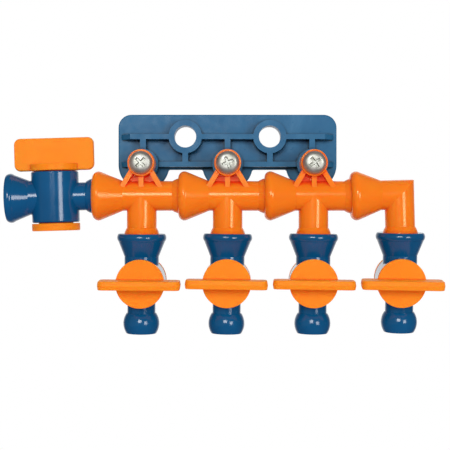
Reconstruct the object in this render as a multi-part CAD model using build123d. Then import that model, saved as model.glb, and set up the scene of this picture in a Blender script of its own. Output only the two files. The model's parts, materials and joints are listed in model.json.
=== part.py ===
from build123d import *

import os
from math import acos, atan2, cos, degrees, pi, radians, sin, sqrt

# A wall-mounted coolant manifold made of snap-together ball-and-socket fittings, in millimetres.
# A ribbed bracket carries three tees, each held by one screw through its ear. An elbow ends the
# row, a quarter-turn valve feeds it from the left, and four more valves hang from its branches.
#
# +X runs along the row from the inlet to the elbow, +Y points into the wall, and +Z is up.
# The origin lies midway between the two mounting holes, on the rear face of the bracket.

# Shared by every cutter that has to pass a face
OVERRUN = 1.0

# Flow passage, tube and ball of every fitting
bore_radius = 3.175
tube_wall = 2.175
ball_rise = 1.13
ball_clearance = 0.07
socket_grip = 1.5
socket_wall = 2.3
mouth_round = 0.3

tube_radius = bore_radius + tube_wall
ball_radius = tube_radius + ball_rise
ball_root = sqrt(ball_radius**2 - tube_radius**2)
cavity_radius = ball_radius + ball_clearance
bell_radius = cavity_radius + socket_wall

# Tees and elbow, from the centre where run and branch cross
lip_round = 2.2
shoulder_gap = 1.25
flare_backing = 3.055
run_stub = 5.687
branch_stub = 6.087
corner_round = 0.8

taper_end = tube_radius + shoulder_gap
fitting_socket_reach = taper_end + flare_backing + cavity_radius
run_ball_reach = tube_radius + run_stub + ball_root
branch_ball_reach = tube_radius + branch_stub + ball_root
pitch = fitting_socket_reach + run_ball_reach
screw_count = 3

# Screws that hold the tees
screw_radius = 2.0
thread_clearance = 0.03
hole_clearance = 0.2
head_radius = 4.1
head_rim = 0.6
head_height = 2.4
head_crown_share = 0.32
point_chamfer = 0.6
recess_width = 1.15
recess_length = 4.3
recess_depth = 1.5
recess_taper = 9
bite_share = 0.6
screw_turns = (45, 22, 35)

# Ear on top of each tee
ear_gap = 2.89
ear_rim = 0.7
ring_proud = 0.43
ring_round = 0.3
brace_width = 1.8
brace_setback = 0.97
brace_foot = 8.8
brace_head_share = 0.35
web_thickness = 1.8

ring_radius = head_radius + ear_rim
ring_front = tube_radius + ring_proud
ear_height = bell_radius + ear_gap

# Bracket
pipe_standoff = 14.6
plate_thickness = 3.0
plate_round = 0.5
plate_corner = 4.8
notch_round = 0.8
notch_margin = 0.875
top_margin = 2.3
hole_radius = 4.0
hole_wall = 2.1
rib_gap = 4.0
rib_width = 1.85
post_width = 2.1
rib_setback = 1.0
ramp_length = 3.5
end_margin = 1.2
boss_wall = 3.6
lobe_margin = 3.75

boss_radius = screw_radius + boss_wall
boss_height = pipe_standoff - tube_radius
rib_height = boss_height - rib_setback
hole_boss_radius = hole_radius + hole_wall
lobe_radius = boss_radius + lobe_margin
screw_line = -(hole_boss_radius + rib_gap)
notch_line = screw_line - rib_width / 2 - notch_margin
plate_top = hole_boss_radius + top_margin
plate_half = pitch + lobe_radius
pipe_line = screw_line - ear_height

# Quarter-turn valves, from the point where flow axis and handle axis cross
plug_land = 3.025
plug_clearance = 0.05
barrel_wall = 2.25
barrel_length = 18.25
barrel_round = 0.5
valve_backing = 3.05
valve_neck = 2.74
neck_wall = 1.87
collar_wall = 3.0
bead_width = 2.8
bead_height = 0.52
flare_length = 8.2

plug_radius = bore_radius + plug_land
plug_bore_radius = plug_radius + plug_clearance
barrel_radius = plug_bore_radius + barrel_wall
neck_radius = bore_radius + neck_wall
collar_radius = bore_radius + collar_wall
valve_socket_reach = plug_bore_radius + valve_backing + cavity_radius
valve_ball_reach = barrel_radius + valve_neck + ball_root

# Handle, retaining cap and plug seals
end_gap = 0.35
disc_overhang = 0.1
disc_thickness = 2.4
disc_round = 0.25
paddle_gap = 2.1
paddle_height = 11.85
paddle_thickness = 3.1
paddle_corner = 2.3
paddle_draft = 10
paddle_round = 0.35
cap_overhang = 0.1
cap_thickness = 2.65
cap_round = 0.5
cap_floor = 0.9
stub_step = 2.3
stub_barb = 0.35
snap_clearance = 0.05
seal_section = 1.5
seal_clearance = 0.05

disc_radius = barrel_radius + disc_overhang
cap_radius = barrel_radius + cap_overhang
plug_end = barrel_length / 2 + end_gap
paddle_width = pitch - paddle_gap
stub_radius = plug_radius - stub_step
stub_length = cap_thickness - cap_floor
seal_height = (bore_radius + barrel_length / 2) / 2

# How the snap joints are set, in degrees: the inlet valve droops and the elbow rises a little,
# and each outlet valve is turned about its flow, tipped with its front down and swung to the left
inlet_lean = 1.6
elbow_lean = 1.45
outlet_turns = (0.5, -0.8, -2.1, -3.5)
outlet_tilts = (1.8, 0.8, 1.0, 2.9)
outlet_leans = (0.4, 0.8, 0.7, 0.6)


def bar(radius, start, end):
    """Round bar along the X axis."""
    rod = Cylinder(radius, end - start, align=(Align.CENTER, Align.CENTER, Align.MIN))
    return Pos(X=start) * Rot(Y=90) * rod


def turned(outline):
    """Solid of revolution about the X axis from a closed half outline in the XY plane."""
    return revolve(make_face(outline), Axis.X)


def down(piece):
    """The same piece with its +X end turned to point down."""
    return Rot(Y=90) * piece


def ball_end(start, radius, reach):
    """Neck of the given radius from start, and a ball with a flat nose, centred at reach."""
    root, nose = reach - ball_root, reach + ball_root
    ball = turned(
        [
            Line((root, 0), (root, tube_radius)),
            ThreePointArc((root, tube_radius), (reach, ball_radius), (nose, tube_radius)),
            Line((nose, tube_radius), (nose, 0)),
            Line((nose, 0), (root, 0)),
        ]
    )
    nose_edge = ball.edges().filter_by(GeomType.CIRCLE).sort_by(Axis.X)[-1]
    return fillet(nose_edge, mouth_round) + bar(radius, start, root)


def socket_space(reach):
    """Spherical room for a ball, centred at the given distance along -X."""
    return Pos(X=-reach) * Sphere(cavity_radius)


def rounded_bell():
    """Flared socket of a tee or elbow: a full round lip that runs into a long taper."""
    mouth = -(fitting_socket_reach + socket_grip)
    centre_x, centre_y = mouth + lip_round, bell_radius - lip_round
    run, rise = -taper_end - centre_x, tube_radius - centre_y
    leave = atan2(rise, run) + acos(lip_round / sqrt(run**2 + rise**2))
    half_way = (pi + leave) / 2
    lip_middle = (centre_x + lip_round * cos(half_way), centre_y + lip_round * sin(half_way))
    lip_end = (centre_x + lip_round * cos(leave), centre_y + lip_round * sin(leave))
    return turned(
        [
            Line((mouth, 0), (mouth, centre_y)),
            ThreePointArc((mouth, centre_y), lip_middle, lip_end),
            Line(lip_end, (-taper_end, tube_radius)),
            Line((-taper_end, tube_radius), (-taper_end, 0)),
            Line((-taper_end, 0), (mouth, 0)),
        ]
    )


def beaded_bell():
    """Flared socket of a valve: a narrow bead round the mouth, a crease, then a taper to a collar."""
    mouth = -(valve_socket_reach + socket_grip)
    bead_edge = bell_radius - bead_height
    flare_end = mouth + flare_length
    bell = turned(
        [
            Line((mouth, 0), (mouth, bead_edge)),
            ThreePointArc(
                (mouth, bead_edge), (mouth + bead_width / 2, bell_radius), (mouth + bead_width, bead_edge)
            ),
            Line((mouth + bead_width, bead_edge), (flare_end, collar_radius)),
            Line((flare_end, collar_radius), (0, collar_radius)),
            Line((0, collar_radius), (0, 0)),
            Line((0, 0), (mouth, 0)),
        ]
    )
    mouth_edge = bell.edges().filter_by(GeomType.CIRCLE).sort_by(Axis.X)[0]
    return fillet(mouth_edge, mouth_round)


def brace(side):
    """Slanting brace of the ear, from the tube up into the ring."""
    foot, head = side * brace_foot, side * brace_head_share * ring_radius
    length = sqrt((foot - head) ** 2 + ear_height**2)
    lean = degrees(atan2(head - foot, ear_height))
    depth = 2 * (tube_radius - brace_setback)
    blade = Box(brace_width, depth, length, align=(Align.CENTER, Align.CENTER, Align.MIN))
    return Pos(X=foot) * Rot(Y=lean) * blade


def ear():
    """Ring for the screw, standing over the tee on two braces, a rib and a thin web."""
    depth = 2 * (tube_radius - brace_setback)
    head = brace_head_share * ring_radius
    web_outline = Polygon(
        (-brace_foot, 0), (brace_foot, 0), (head, ear_height), (-head, ear_height), align=None
    )
    web = extrude(Plane.XZ * web_outline, web_thickness / 2, both=True)
    rib = Box(brace_width, depth, ear_height, align=(Align.CENTER, Align.CENTER, Align.MIN))
    ring = Cylinder(
        ring_radius, ring_front + tube_radius, align=(Align.CENTER, Align.CENTER, Align.MIN)
    )
    ring = fillet(ring.edges().filter_by(GeomType.CIRCLE).sort_by(Axis.Z)[-1], ring_round)
    ring = Pos(0, tube_radius, ear_height) * Rot(X=90) * ring
    return web + rib + brace(1) + brace(-1) + ring


def ear_hole():
    """Clearance hole for the screw through the ear."""
    depth = ring_front + tube_radius + 2 * OVERRUN
    hole = Rot(X=90) * Cylinder(screw_radius + hole_clearance, depth)
    return Pos(0, (tube_radius - ring_front) / 2, ear_height) * hole


def tee():
    """Tee: socket on the left, ball on the right, ball on the branch below, and the screw ear."""
    body = rounded_bell() + ball_end(-taper_end, tube_radius, run_ball_reach)
    body += down(ball_end(0, tube_radius, branch_ball_reach))
    body += ear()
    body -= socket_space(fitting_socket_reach)
    body -= bar(bore_radius, -fitting_socket_reach, run_ball_reach + ball_root + OVERRUN)
    body -= down(bar(bore_radius, 0, branch_ball_reach + ball_root + OVERRUN))
    return body - ear_hole()


def elbow():
    """Elbow: the same socket, and a square mitred corner down to a ball."""
    size = 4 * tube_radius
    below_mitre = Rot(Y=45) * Box(size, size, size, align=(Align.MIN, Align.CENTER, Align.CENTER))
    run = bar(tube_radius, -taper_end, tube_radius) - below_mitre
    branch = down(bar(tube_radius, -tube_radius, tube_radius)) & below_mitre
    envelope = Rectangle(size, size, align=(Align.MAX, Align.MAX))
    envelope = fillet(envelope.vertices().group_by(Axis.X)[-1].sort_by(Axis.Y)[-1], corner_round)
    envelope = Pos(tube_radius, 0, tube_radius) * extrude(Plane.XZ * envelope, size, both=True)
    body = (run + branch) & envelope
    body += rounded_bell() + down(ball_end(tube_radius, tube_radius, branch_ball_reach))
    body -= socket_space(fitting_socket_reach)
    body -= bar(bore_radius, -fitting_socket_reach, 0) + Sphere(bore_radius)
    return body - down(bar(bore_radius, 0, branch_ball_reach + ball_root + OVERRUN))


def bracket_plate():
    """Back plate: a bar with three round lobes along its lower edge."""
    depth_above = plate_top - screw_line
    outline = Pos(Y=screw_line) * Rectangle(2 * plate_half, depth_above, align=(Align.CENTER, Align.MIN))
    depth_below = screw_line - notch_line
    outline += Pos(Y=notch_line) * Rectangle(2 * pitch, depth_below, align=(Align.CENTER, Align.MIN))
    for place in tee_places():
        outline += Pos(place, screw_line) * Circle(lobe_radius)
    top_corners = outline.vertices().group_by(Axis.Y)[-1]
    outline = fillet(top_corners, plate_corner)
    notch_corners = [
        corner for corner in outline.vertices() if abs(corner.Y - notch_line) < notch_round / 4
    ]
    outline = fillet(notch_corners, notch_round)
    plate = extrude(Plane.XZ * outline, plate_thickness)
    front_edges = plate.faces().sort_by(Axis.Y)[0].edges()
    return fillet(front_edges, plate_round)


def long_rib(height):
    """Rib along the whole plate at the given height, with a ramp down at each end."""
    foot = plate_half - end_margin
    top = foot - ramp_length
    outline = Polygon(
        (-foot, 0), (foot, 0), (foot, plate_thickness), (top, rib_height),
        (-top, rib_height), (-foot, plate_thickness), align=None,
    )
    return Pos(Z=height) * Rot(X=180) * extrude(outline, rib_width / 2, both=True)


def post(place, top, bottom):
    """Short upright rib between two heights."""
    blade = Box(post_width, rib_height, top - bottom, align=(Align.CENTER, Align.MAX, Align.MIN))
    return Pos(place, 0, bottom) * blade


def boss(radius, height, place, level):
    """Round boss that stands out from the wall side."""
    pillar = Cylinder(radius, height, align=(Align.CENTER, Align.CENTER, Align.MIN))
    return Pos(place, 0, level) * Rot(X=90) * pillar


def tee_places():
    """Where the tees and their screws stand along the row."""
    return [pitch * (index - (screw_count - 1) / 2) for index in range(screw_count)]


def hole_places():
    """The mounting holes, midway between neighbouring tees."""
    places = tee_places()
    return [(left + right) / 2 for left, right in zip(places, places[1:])]


def bracket():
    """Ribbed bracket with two mounting holes and a blind boss for each screw."""
    body = bracket_plate() + long_rib(0) + long_rib(screw_line)
    for place in tee_places():
        body += post(place, 0, screw_line) + boss(boss_radius, boss_height, place, screw_line)
    for place in hole_places():
        body += post(place, 0, screw_line) + boss(hole_boss_radius, rib_height, place, 0)
    for place in hole_places():
        body -= Pos(Y=OVERRUN) * boss(hole_radius, rib_height + 2 * OVERRUN, place, 0)
    pilot = (1 + bite_share) / 2 * boss_height
    for place in tee_places():
        hole = boss(screw_radius + thread_clearance, pilot + OVERRUN, place, screw_line)
        body -= Pos(Y=pilot - boss_height) * hole
    return body


def screw(turn):
    """Pan-head screw along +Y, with its head seated at the origin and a cross recess."""
    length = ring_front + tube_radius + bite_share * boss_height
    crown = head_radius * head_crown_share
    outline = [
        Line((0, 0), (0, head_radius)),
        Line((0, head_radius), (-head_rim, head_radius)),
        Spline(
            (-head_rim, head_radius), (-head_height, crown), tangents=[(-1, 0), (0, -1)]
        ),
        Line((-head_height, crown), (-head_height, 0)),
        Line((-head_height, 0), (0, 0)),
    ]
    shank = bar(screw_radius, 0, length)
    shank = chamfer(shank.edges().filter_by(GeomType.CIRCLE).sort_by(Axis.X)[-1], point_chamfer)
    slot = Rectangle(recess_length, recess_width) + Rectangle(recess_width, recess_length)
    recess = extrude(Rot(Z=turn) * slot, -recess_depth, taper=recess_taper)
    head = turned(outline) - Pos(X=-head_height) * Rot(Y=-90) * recess
    return Rot(Z=90) * (head + shank)


def valve_body():
    """Valve body: barrel about Z, beaded socket towards -X and ball towards +X."""
    barrel = Cylinder(barrel_radius, barrel_length)
    barrel = fillet(barrel.edges().filter_by(GeomType.CIRCLE), barrel_round)
    body = barrel + beaded_bell() + ball_end(0, neck_radius, valve_ball_reach)
    body -= Cylinder(plug_bore_radius, barrel_length + 2 * OVERRUN)
    body -= socket_space(valve_socket_reach)
    return body - bar(bore_radius, -valve_socket_reach, valve_ball_reach + ball_root + OVERRUN)


def seal_groove(height):
    """Square groove round the plug, a little larger than the seal in it."""
    width = seal_section + 2 * seal_clearance
    floor_radius = plug_radius - seal_section - seal_clearance
    return Pos(Z=height) * (Cylinder(plug_radius + OVERRUN, width) - Cylinder(floor_radius, width))


def snap_stub(clearance):
    """Barbed stub below the plug. A clearance makes it the room for the stub instead."""
    outer = stub_radius + stub_barb + clearance
    inner = stub_radius + clearance
    depth = stub_length + clearance
    barb = stub_length / 2 - clearance
    outline = [
        Line((0, 0), (0, inner)),
        Line((0, inner), (barb, inner)),
        Line((barb, inner), (barb + stub_barb, outer)),
        Line((barb + stub_barb, outer), (depth, inner)),
        Line((depth, inner), (depth, 0)),
        Line((depth, 0), (0, 0)),
    ]
    return Pos(Z=-plug_end) * down(turned(outline))


def handle():
    """Handle in one piece: paddle, disc, drilled plug and snap stub, with the paddle along X."""
    blade = RectangleRounded(paddle_width, paddle_height, paddle_corner)
    blade = extrude(blade, paddle_thickness / 2, both=True, taper=paddle_draft)
    blade = fillet(blade.faces().filter_by(Axis.Z).edges(), paddle_round)
    blade = Pos(Z=plug_end + paddle_height / 2) * Rot(X=90) * blade
    disc = Cylinder(disc_radius, disc_thickness, align=(Align.CENTER, Align.CENTER, Align.MIN))
    disc = Pos(Z=plug_end) * fillet(disc.edges().filter_by(GeomType.CIRCLE), disc_round)
    plug = Cylinder(plug_radius, 2 * plug_end)
    body = blade + disc + plug + snap_stub(0)
    for height in (seal_height, -seal_height):
        body -= seal_groove(height)
    return body - bar(bore_radius, -barrel_radius, barrel_radius)


def cap():
    """Retaining cap that snaps on to the stub at the far end of the plug."""
    disc = Cylinder(cap_radius, cap_thickness, align=(Align.CENTER, Align.CENTER, Align.MAX))
    disc = fillet(disc.edges().filter_by(GeomType.CIRCLE).sort_by(Axis.Z)[0], cap_round)
    return Pos(Z=-plug_end) * disc - snap_stub(snap_clearance)


def seals():
    """The two seals of a plug, one on each side of its port."""
    ring = Torus(plug_radius - seal_section / 2, seal_section / 2)
    return Compound([Pos(Z=seal_height) * ring, Pos(Z=-seal_height) * ring])


def valve_pieces(name, place, closed):
    """The four pieces of one valve. A closed valve has its handle across the flow."""
    turn = Rot(Z=90 if closed else 0)
    return {
        f"{name}_body": place * valve_body(),
        f"{name}_handle": place * turn * handle(),
        f"{name}_cap": place * cap(),
        f"{name}_seals": place * seals(),
    }


def inlet_place():
    """The inlet valve: its ball sits in the first tee, about which the valve droops."""
    ball_x = tee_places()[0] - fitting_socket_reach
    return Pos(ball_x, -pipe_standoff, pipe_line) * Rot(Y=-inlet_lean) * Pos(X=-valve_ball_reach)


def elbow_place():
    """The elbow: its socket holds the ball of the last tee, about which the elbow leans."""
    ball_x = tee_places()[-1] + run_ball_reach
    return Pos(ball_x, -pipe_standoff, pipe_line) * Rot(Y=-elbow_lean) * Pos(X=fitting_socket_reach)


def branch_balls():
    """Centres of the balls that the outlet valves hang from."""
    level = pipe_line - branch_ball_reach
    centres = [Vector(place, -pipe_standoff, level) for place in tee_places()]
    return centres + [(elbow_place() * Pos(Z=-branch_ball_reach)).position]


def outlet_place(ball, turn, tilt, lean):
    """An outlet valve: flow points down and its handle faces the front."""
    axes = Plane((0, 0, 0), x_dir=(0, 0, -1), z_dir=(0, -1, 0)).location
    return Pos(ball) * Rot(Y=lean) * Rot(X=tilt) * Rot(Z=turn) * Pos(Z=-valve_socket_reach) * axes


def manifold():
    """Every piece by the name of its file."""
    pieces = {"bracket": bracket()}
    fitting = tee()
    for number, place in enumerate(tee_places(), 1):
        pieces[f"tee_{number}"] = Pos(place, -pipe_standoff, pipe_line) * fitting
        seat = Pos(place, -pipe_standoff - ring_front, screw_line)
        pieces[f"tee_screw_{number}"] = seat * screw(screw_turns[number - 1])
    pieces["elbow"] = elbow_place() * elbow()
    pieces |= valve_pieces("inlet_valve", inlet_place(), closed=False)
    settings = zip(branch_balls(), outlet_turns, outlet_tilts, outlet_leans)
    for number, setting in enumerate(settings, 1):
        pieces |= valve_pieces(f"outlet_valve_{number}", outlet_place(*setting), closed=True)
    return pieces


os.makedirs("parts", exist_ok=True)
for piece_name, piece in manifold().items():
    export_step(piece, f"parts/{piece_name}.step")
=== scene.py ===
import json
import math

import bpy
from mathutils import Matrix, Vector

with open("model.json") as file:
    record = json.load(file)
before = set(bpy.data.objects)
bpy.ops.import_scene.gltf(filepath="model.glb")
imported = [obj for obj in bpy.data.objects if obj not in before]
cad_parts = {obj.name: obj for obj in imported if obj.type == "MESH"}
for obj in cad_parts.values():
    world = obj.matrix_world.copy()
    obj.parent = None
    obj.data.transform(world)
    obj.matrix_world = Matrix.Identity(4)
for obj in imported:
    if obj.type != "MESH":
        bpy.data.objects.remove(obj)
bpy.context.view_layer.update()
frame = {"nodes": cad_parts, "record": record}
nodes = frame["nodes"]

# Lengths are in metres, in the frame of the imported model
MM = 0.001

# Centre line of the row of pipes, in front of the bracket
PIPE_Y = -14.6 * MM

# What the lights aim at, near the middle of the object
LIGHT_TARGET = (0, PIPE_Y, -30 * MM)

# Floor, below the photograph's frame
FLOOR_HEIGHT = -0.2
FLOOR_RADIUS = 0.4
FLOOR_SIDES = 96

# Camera, worked out from the photograph's perspective, with lens and sensor in millimetres
CAMERA_PLACE = (-0.94 * MM, -482.6 * MM, -32.3 * MM)
LENS_LENGTH = 104
SENSOR_WIDTH = 36

# Shade in corners: full below the first share of open surroundings, gone above the second
SHADE_FULL = 0.45
SHADE_GONE = 0.92
SHADE_SAMPLES = 8

WHITE = (1, 1, 1, 1)


def set_stops(ramp, stops):
    """Gives a colour ramp node its (position, colour) stops, where a new node has two."""
    elements = ramp.color_ramp.elements
    for element, (position, colour) in zip(elements, (stops[0], stops[-1])):
        element.position = position
        element.color = colour
    for position, colour in stops[1:-1]:
        elements.new(position).color = colour


class Graph:
    """Node tree of one material, with short calls for the nodes that the materials share."""

    def __init__(self, name):
        self.material = bpy.data.materials.new(name)
        self.material.use_nodes = True
        self.tree = self.material.node_tree
        self.shader = self.tree.nodes["Principled BSDF"]
        self.place = self.add("ShaderNodeTexCoord").outputs["Object"]

    def add(self, kind, **settings):
        node = self.tree.nodes.new(kind)
        for key, value in settings.items():
            setattr(node, key, value)
        return node

    def link(self, source, target):
        self.tree.links.new(source, target)

    def noise(self, scale, detail=3.0, roughness=0.5, stretch=(1, 1, 1), distortion=0.0):
        """Noise over the piece, with the scale in features for each metre."""
        mapping = self.add("ShaderNodeMapping")
        mapping.inputs["Scale"].default_value = stretch
        self.link(self.place, mapping.inputs["Vector"])
        noise = self.add("ShaderNodeTexNoise")
        noise.inputs["Scale"].default_value = scale
        noise.inputs["Detail"].default_value = detail
        noise.inputs["Roughness"].default_value = roughness
        noise.inputs["Distortion"].default_value = distortion
        self.link(mapping.outputs["Vector"], noise.inputs["Vector"])
        return noise.outputs["Fac"]

    def ramp(self, value, *stops):
        """Colour that follows a value, with (position, colour) stops."""
        ramp = self.add("ShaderNodeValToRGB")
        set_stops(ramp, stops)
        self.link(value, ramp.inputs["Fac"])
        return ramp.outputs["Color"]

    def range(self, value, low, high, start=0.3, end=0.7):
        """A value of start to end, spread from low to high."""
        node = self.add("ShaderNodeMapRange")
        for socket, number in (("From Min", start), ("From Max", end), ("To Min", low), ("To Max", high)):
            node.inputs[socket].default_value = number
        self.link(value, node.inputs["Value"])
        return node.outputs["Result"]

    def bump(self, height, depth, strength, after=None):
        """Relief from a height of 0 to 1, on top of the relief named as after."""
        node = self.add("ShaderNodeBump")
        node.inputs["Strength"].default_value = strength
        node.inputs["Distance"].default_value = depth
        self.link(height, node.inputs["Height"])
        if after:
            self.link(after, node.inputs["Normal"])
        return node.outputs["Normal"]

    def shade_corners(self, colour, shade, reach, only_local):
        """The colour on open faces, and the shade in corners, as far out of them as the reach.

        With only_local the other pieces cast no such shade.
        """
        corner = self.add("ShaderNodeAmbientOcclusion", samples=SHADE_SAMPLES, only_local=only_local)
        corner.inputs["Distance"].default_value = reach
        openness = self.range(corner.outputs["AO"], 0, 1, start=SHADE_FULL, end=SHADE_GONE)
        # The mix node's colours go in at sockets 6 and 7 and come out at socket 2
        mix = self.add("ShaderNodeMix", data_type="RGBA")
        self.link(openness, mix.inputs[0])
        mix.inputs[6].default_value = shade
        self.link(colour, mix.inputs[7])
        return mix.outputs[2]

    def connect(self, colour, roughness, normal):
        """Feeds the shader's three sockets that vary over the piece."""
        for socket, source in (("Base Color", colour), ("Roughness", roughness), ("Normal", normal)):
            self.link(source, self.shader.inputs[socket])

    def set(self, **sockets):
        """Uniform values, set on the shader's own sockets."""
        for name, value in sockets.items():
            self.shader.inputs[name.replace("_", " ")].default_value = value


def rgb(red, green, blue):
    """Scene-linear colour from an sRGB colour of 0 to 255."""
    def linear(value):
        share = value / 255
        return share / 12.92 if share <= 0.04045 else ((share + 0.055) / 1.055) ** 2.4
    return linear(red), linear(green), linear(blue), 1.0


def orange_plastic(name, green, smooth, dull, ior, scatter, painted_shade_reach):
    """Moulded orange resin, slightly translucent, with painted redder shade in its creases.

    It has faint flow marks and a fine peel. The middle tone's green is 0 to 255. The roughness
    goes from smooth to dull. Light scatters as deep as scatter, and the painted redder shade
    reaches as far out of a corner, and near other pieces, as painted_shade_reach.
    """
    g = Graph(name)
    flow = g.noise(scale=60, detail=4, stretch=(0.5, 1, 1.4), distortion=0.6)
    tones = g.ramp(
        flow,
        (0.3, rgb(245, green - 4, 30)),
        (0.55, rgb(247, green, 33)),
        (0.8, rgb(249, green + 4, 37)),
    )
    # Painted shade: the colour turns redder in corners and where other pieces are close
    colour = g.shade_corners(tones, shade=rgb(246, 84, 34), reach=painted_shade_reach, only_local=False)
    roughness = g.range(g.noise(scale=420, detail=5), low=smooth, high=dull)
    peel = g.bump(g.noise(scale=1100, detail=2), depth=0.006 * MM, strength=0.5)
    waves = g.bump(g.noise(scale=170, detail=1), depth=0.02 * MM, strength=0.3, after=peel)
    g.connect(colour, roughness, waves)
    g.set(Subsurface_Weight=0.6, Subsurface_Radius=(1.0, 0.3, 0.1), Subsurface_Scale=scatter)
    g.set(IOR=ior, Specular_Tint=(0.75, 1.0, 0.6, 1.0))
    return g.material


def valve_plastic():
    """Deep blue gloss resin, with fine scuffs in the gloss."""
    g = Graph("valve_plastic")
    tone = g.noise(scale=70, detail=4, distortion=0.4)
    colour = g.ramp(tone, (0.3, rgb(6, 82, 128)), (0.6, rgb(8, 90, 138)), (0.8, rgb(12, 98, 148)))
    roughness = g.range(g.noise(scale=700, detail=6, roughness=0.65), low=0.11, high=0.18)
    peel = g.bump(g.noise(scale=800, detail=3), depth=0.008 * MM, strength=0.5)
    waves = g.bump(g.noise(scale=230, detail=2), depth=0.03 * MM, strength=0.35, after=peel)
    g.connect(colour, roughness, waves)
    g.set(IOR=1.50)
    return g.material


def bracket_plastic():
    """Greyer blue moulding, with a matt grained face, pale rubbed patches and painted shade in corners.
    """
    g = Graph("bracket_plastic")
    tone = g.noise(scale=60, detail=6, roughness=0.6, distortion=1.2)
    tones = g.ramp(tone, (0.3, rgb(22, 98, 141)), (0.55, rgb(30, 108, 151)), (0.78, rgb(54, 124, 165)))
    # Painted shade: the colour turns dark blue in corners and along the ribs
    colour = g.shade_corners(tones, shade=rgb(6, 52, 72), reach=1.3 * MM, only_local=True)
    roughness = g.range(g.noise(scale=300, detail=4), low=0.26, high=0.44)
    grain = g.bump(g.noise(scale=1400, detail=3), depth=0.03 * MM, strength=0.5)
    waves = g.bump(g.noise(scale=260, detail=3), depth=0.08 * MM, strength=0.35, after=grain)
    g.connect(colour, roughness, waves)
    g.set(IOR=1.31)
    return g.material


def zinc_steel():
    """Bright zinc plate with a faint yellow-green cast and small dull spots."""
    g = Graph("zinc_steel")
    colour = g.ramp(g.noise(scale=500, detail=4), (0.3, rgb(168, 170, 158)), (0.7, rgb(196, 199, 192)))
    roughness = g.range(g.noise(scale=900, detail=5), low=0.34, high=0.46)
    grain = g.bump(g.noise(scale=1500, detail=2), depth=0.01 * MM, strength=0.5)
    g.connect(colour, roughness, grain)
    g.set(Metallic=0.75)
    return g.material


def seal_rubber():
    """Black seal rubber with a fine grain."""
    g = Graph("seal_rubber")
    colour = g.ramp(g.noise(scale=600), (0.3, rgb(22, 22, 22)), (0.7, rgb(34, 34, 34)))
    roughness = g.range(g.noise(scale=900), low=0.55, high=0.7)
    grain = g.bump(g.noise(scale=2500), depth=0.01 * MM, strength=0.6)
    g.connect(colour, roughness, grain)
    return g.material


def dress_nodes():
    """Gives each piece the finish of its material slot, and handles and caps a satin orange."""
    # The last value of each finish is how far its painted redder shade reaches out of corners
    glossy = dict(green=142, smooth=0.14, dull=0.21, ior=1.48, scatter=1.5 * MM, painted_shade_reach=3.0 * MM)
    satin = dict(green=155, smooth=0.42, dull=0.52, ior=1.28, scatter=0.8 * MM, painted_shade_reach=0.6 * MM)
    finishes = {
        "orange_plastic": orange_plastic("orange_plastic", **glossy),
        "valve_plastic": valve_plastic(),
        "bracket_plastic": bracket_plastic(),
        "zinc_steel": zinc_steel(),
        "seal_rubber": seal_rubber(),
    }
    satin_orange = orange_plastic("orange_satin", **satin)
    for part in frame["record"]["subparts"]:
        is_satin = part["node"].endswith(("_handle", "_cap"))
        for slot in nodes[part["node"]].material_slots:
            slot.link = "OBJECT"
            slot.material = satin_orange if is_satin else finishes[part["material_slot"]]


def add_light(name, azimuth, elevation, distance, width, height, power):
    """Soft box that faces the object, placed by its direction as seen from the object."""
    across = math.radians(azimuth)
    up = math.radians(elevation)
    away = Vector((math.sin(across) * math.cos(up), -math.cos(across) * math.cos(up), math.sin(up)))
    data = bpy.data.lights.new(name, "AREA")
    data.shape = "RECTANGLE"
    data.size = width
    data.size_y = height
    data.energy = power
    light = bpy.data.objects.new(name, data)
    light.location = Vector(LIGHT_TARGET) + distance * away
    light.rotation_euler = away.to_track_quat("Z", "Y").to_euler()
    light.visible_camera = False
    bpy.context.scene.collection.objects.link(light)


def add_lights():
    """Two boxes in front, whose highlights show on every ball and rim, and a weak wide one."""
    add_light("left_box", azimuth=-8, elevation=13.5, distance=2.0, width=0.74, height=0.58, power=15.2)
    add_light("right_box", azimuth=31, elevation=3.0, distance=2.0, width=0.62, height=0.66, power=11.4)
    add_light("side_box", azimuth=-46, elevation=10, distance=1.0, width=1.2, height=1.0, power=0.5)


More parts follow.
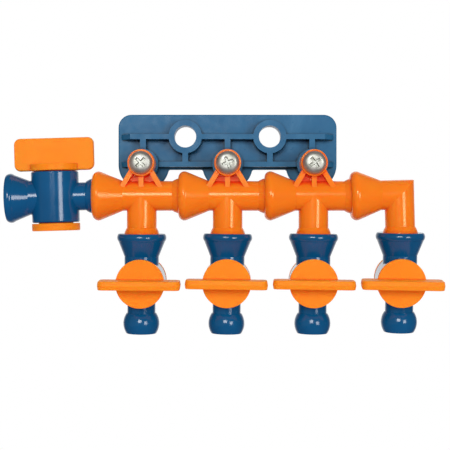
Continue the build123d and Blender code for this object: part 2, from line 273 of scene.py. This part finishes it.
def add_world():
    """White backdrop for the camera and for clear rays, and other light for the rest.

    Mirrored rays see a dark room with a white backdrop. All others see a dim warm room with
    light from behind.
    """
    world = bpy.data.worlds.new("studio")
    bpy.context.scene.world = world
    world.use_nodes = True
    tree = world.node_tree
    tree.nodes.clear()
    output = tree.nodes.new("ShaderNodeOutputWorld")
    direction = tree.nodes.new("ShaderNodeTexCoord").outputs["Generated"]
    axes = tree.nodes.new("ShaderNodeSeparateXYZ")
    tree.links.new(direction, axes.inputs[0])

    def grey(level):
        return level, level, level

    def gradient(axis, *stops):
        """Light that follows one axis of the direction, with (direction of -1 to 1, colour) stops."""
        spread = tree.nodes.new("ShaderNodeMapRange")
        spread.inputs["From Min"].default_value = -1
        tree.links.new(axes.outputs[axis], spread.inputs["Value"])
        ramp = tree.nodes.new("ShaderNodeValToRGB")
        set_stops(ramp, [((place + 1) / 2, (*colour, 1)) for place, colour in stops])
        tree.links.new(spread.outputs["Result"], ramp.inputs["Fac"])
        background = tree.nodes.new("ShaderNodeBackground")
        tree.links.new(ramp.outputs["Color"], background.inputs["Color"])
        return background.outputs[0]

    def join(kind, *sources):
        """Shader node with its sources linked in order."""
        node = tree.nodes.new(kind)
        for source, target in zip(sources, node.inputs):
            tree.links.new(source, target)
        return node.outputs[0]

    # From straight below the object to straight above
    room = gradient(
        "Z",
        (-1, (1.00, 0.55, 0.70)),
        (-0.5, (0.70, 0.36, 0.46)),
        (0, (0.32, 0.16, 0.17)),
        (0.5, (0.36, 0.22, 0.22)),
        (1, (0.75, 0.50, 0.50)),
    )

    # From in front of the object to behind it
    rear = gradient("Y", (-1, grey(0)), (0.1, grey(0)), (0.8, grey(1.1)), (1, grey(1.1)))
    mirrored = gradient("Y", (-1, grey(0.07)), (0.6, grey(0.07)), (0.93, grey(1)), (1, grey(1)))

    # Each kind of ray takes its own light
    backdrop = tree.nodes.new("ShaderNodeBackground")
    backdrop.inputs["Color"].default_value = WHITE
    rays = tree.nodes.new("ShaderNodeLightPath").outputs
    shown = join("ShaderNodeAddShader", room, rear)
    shown = join("ShaderNodeMixShader", rays["Is Glossy Ray"], shown, mirrored)
    shown = join("ShaderNodeMixShader", rays["Is Transmission Ray"], shown, backdrop.outputs[0])
    shown = join("ShaderNodeMixShader", rays["Is Camera Ray"], shown, backdrop.outputs[0])
    tree.links.new(shown, output.inputs["Surface"])


def add_floor():
    """Pale round floor below the object, out of the photograph's frame."""
    middle = (0, PIPE_Y, FLOOR_HEIGHT)
    bpy.ops.mesh.primitive_circle_add(
        vertices=FLOOR_SIDES, radius=FLOOR_RADIUS, fill_type="NGON", location=middle)
    floor = bpy.context.object
    floor.name = "floor"
    g = Graph("floor")
    colour = g.ramp(g.noise(scale=20, detail=2), (0.3, rgb(214, 232, 232)), (0.7, rgb(220, 238, 238)))
    g.link(colour, g.shader.inputs["Base Color"])
    g.set(Roughness=0.7, Emission_Color=WHITE, Emission_Strength=0.2)
    floor.data.materials.append(g.material)
    floor.visible_diffuse = False
    floor.visible_glossy = False


def add_camera():
    """Long lens straight ahead of the row, at the height of the branches."""
    data = bpy.data.cameras.new("camera")
    data.lens = LENS_LENGTH
    data.sensor_width = SENSOR_WIDTH
    camera = bpy.data.objects.new("camera", data)
    camera.location = CAMERA_PLACE
    camera.rotation_euler = (math.radians(90), 0, 0)
    bpy.context.scene.collection.objects.link(camera)
    bpy.context.scene.camera = camera


bpy.context.scene.view_settings.view_transform = "Standard"
dress_nodes()
add_lights()
add_world()
add_floor()
add_camera()
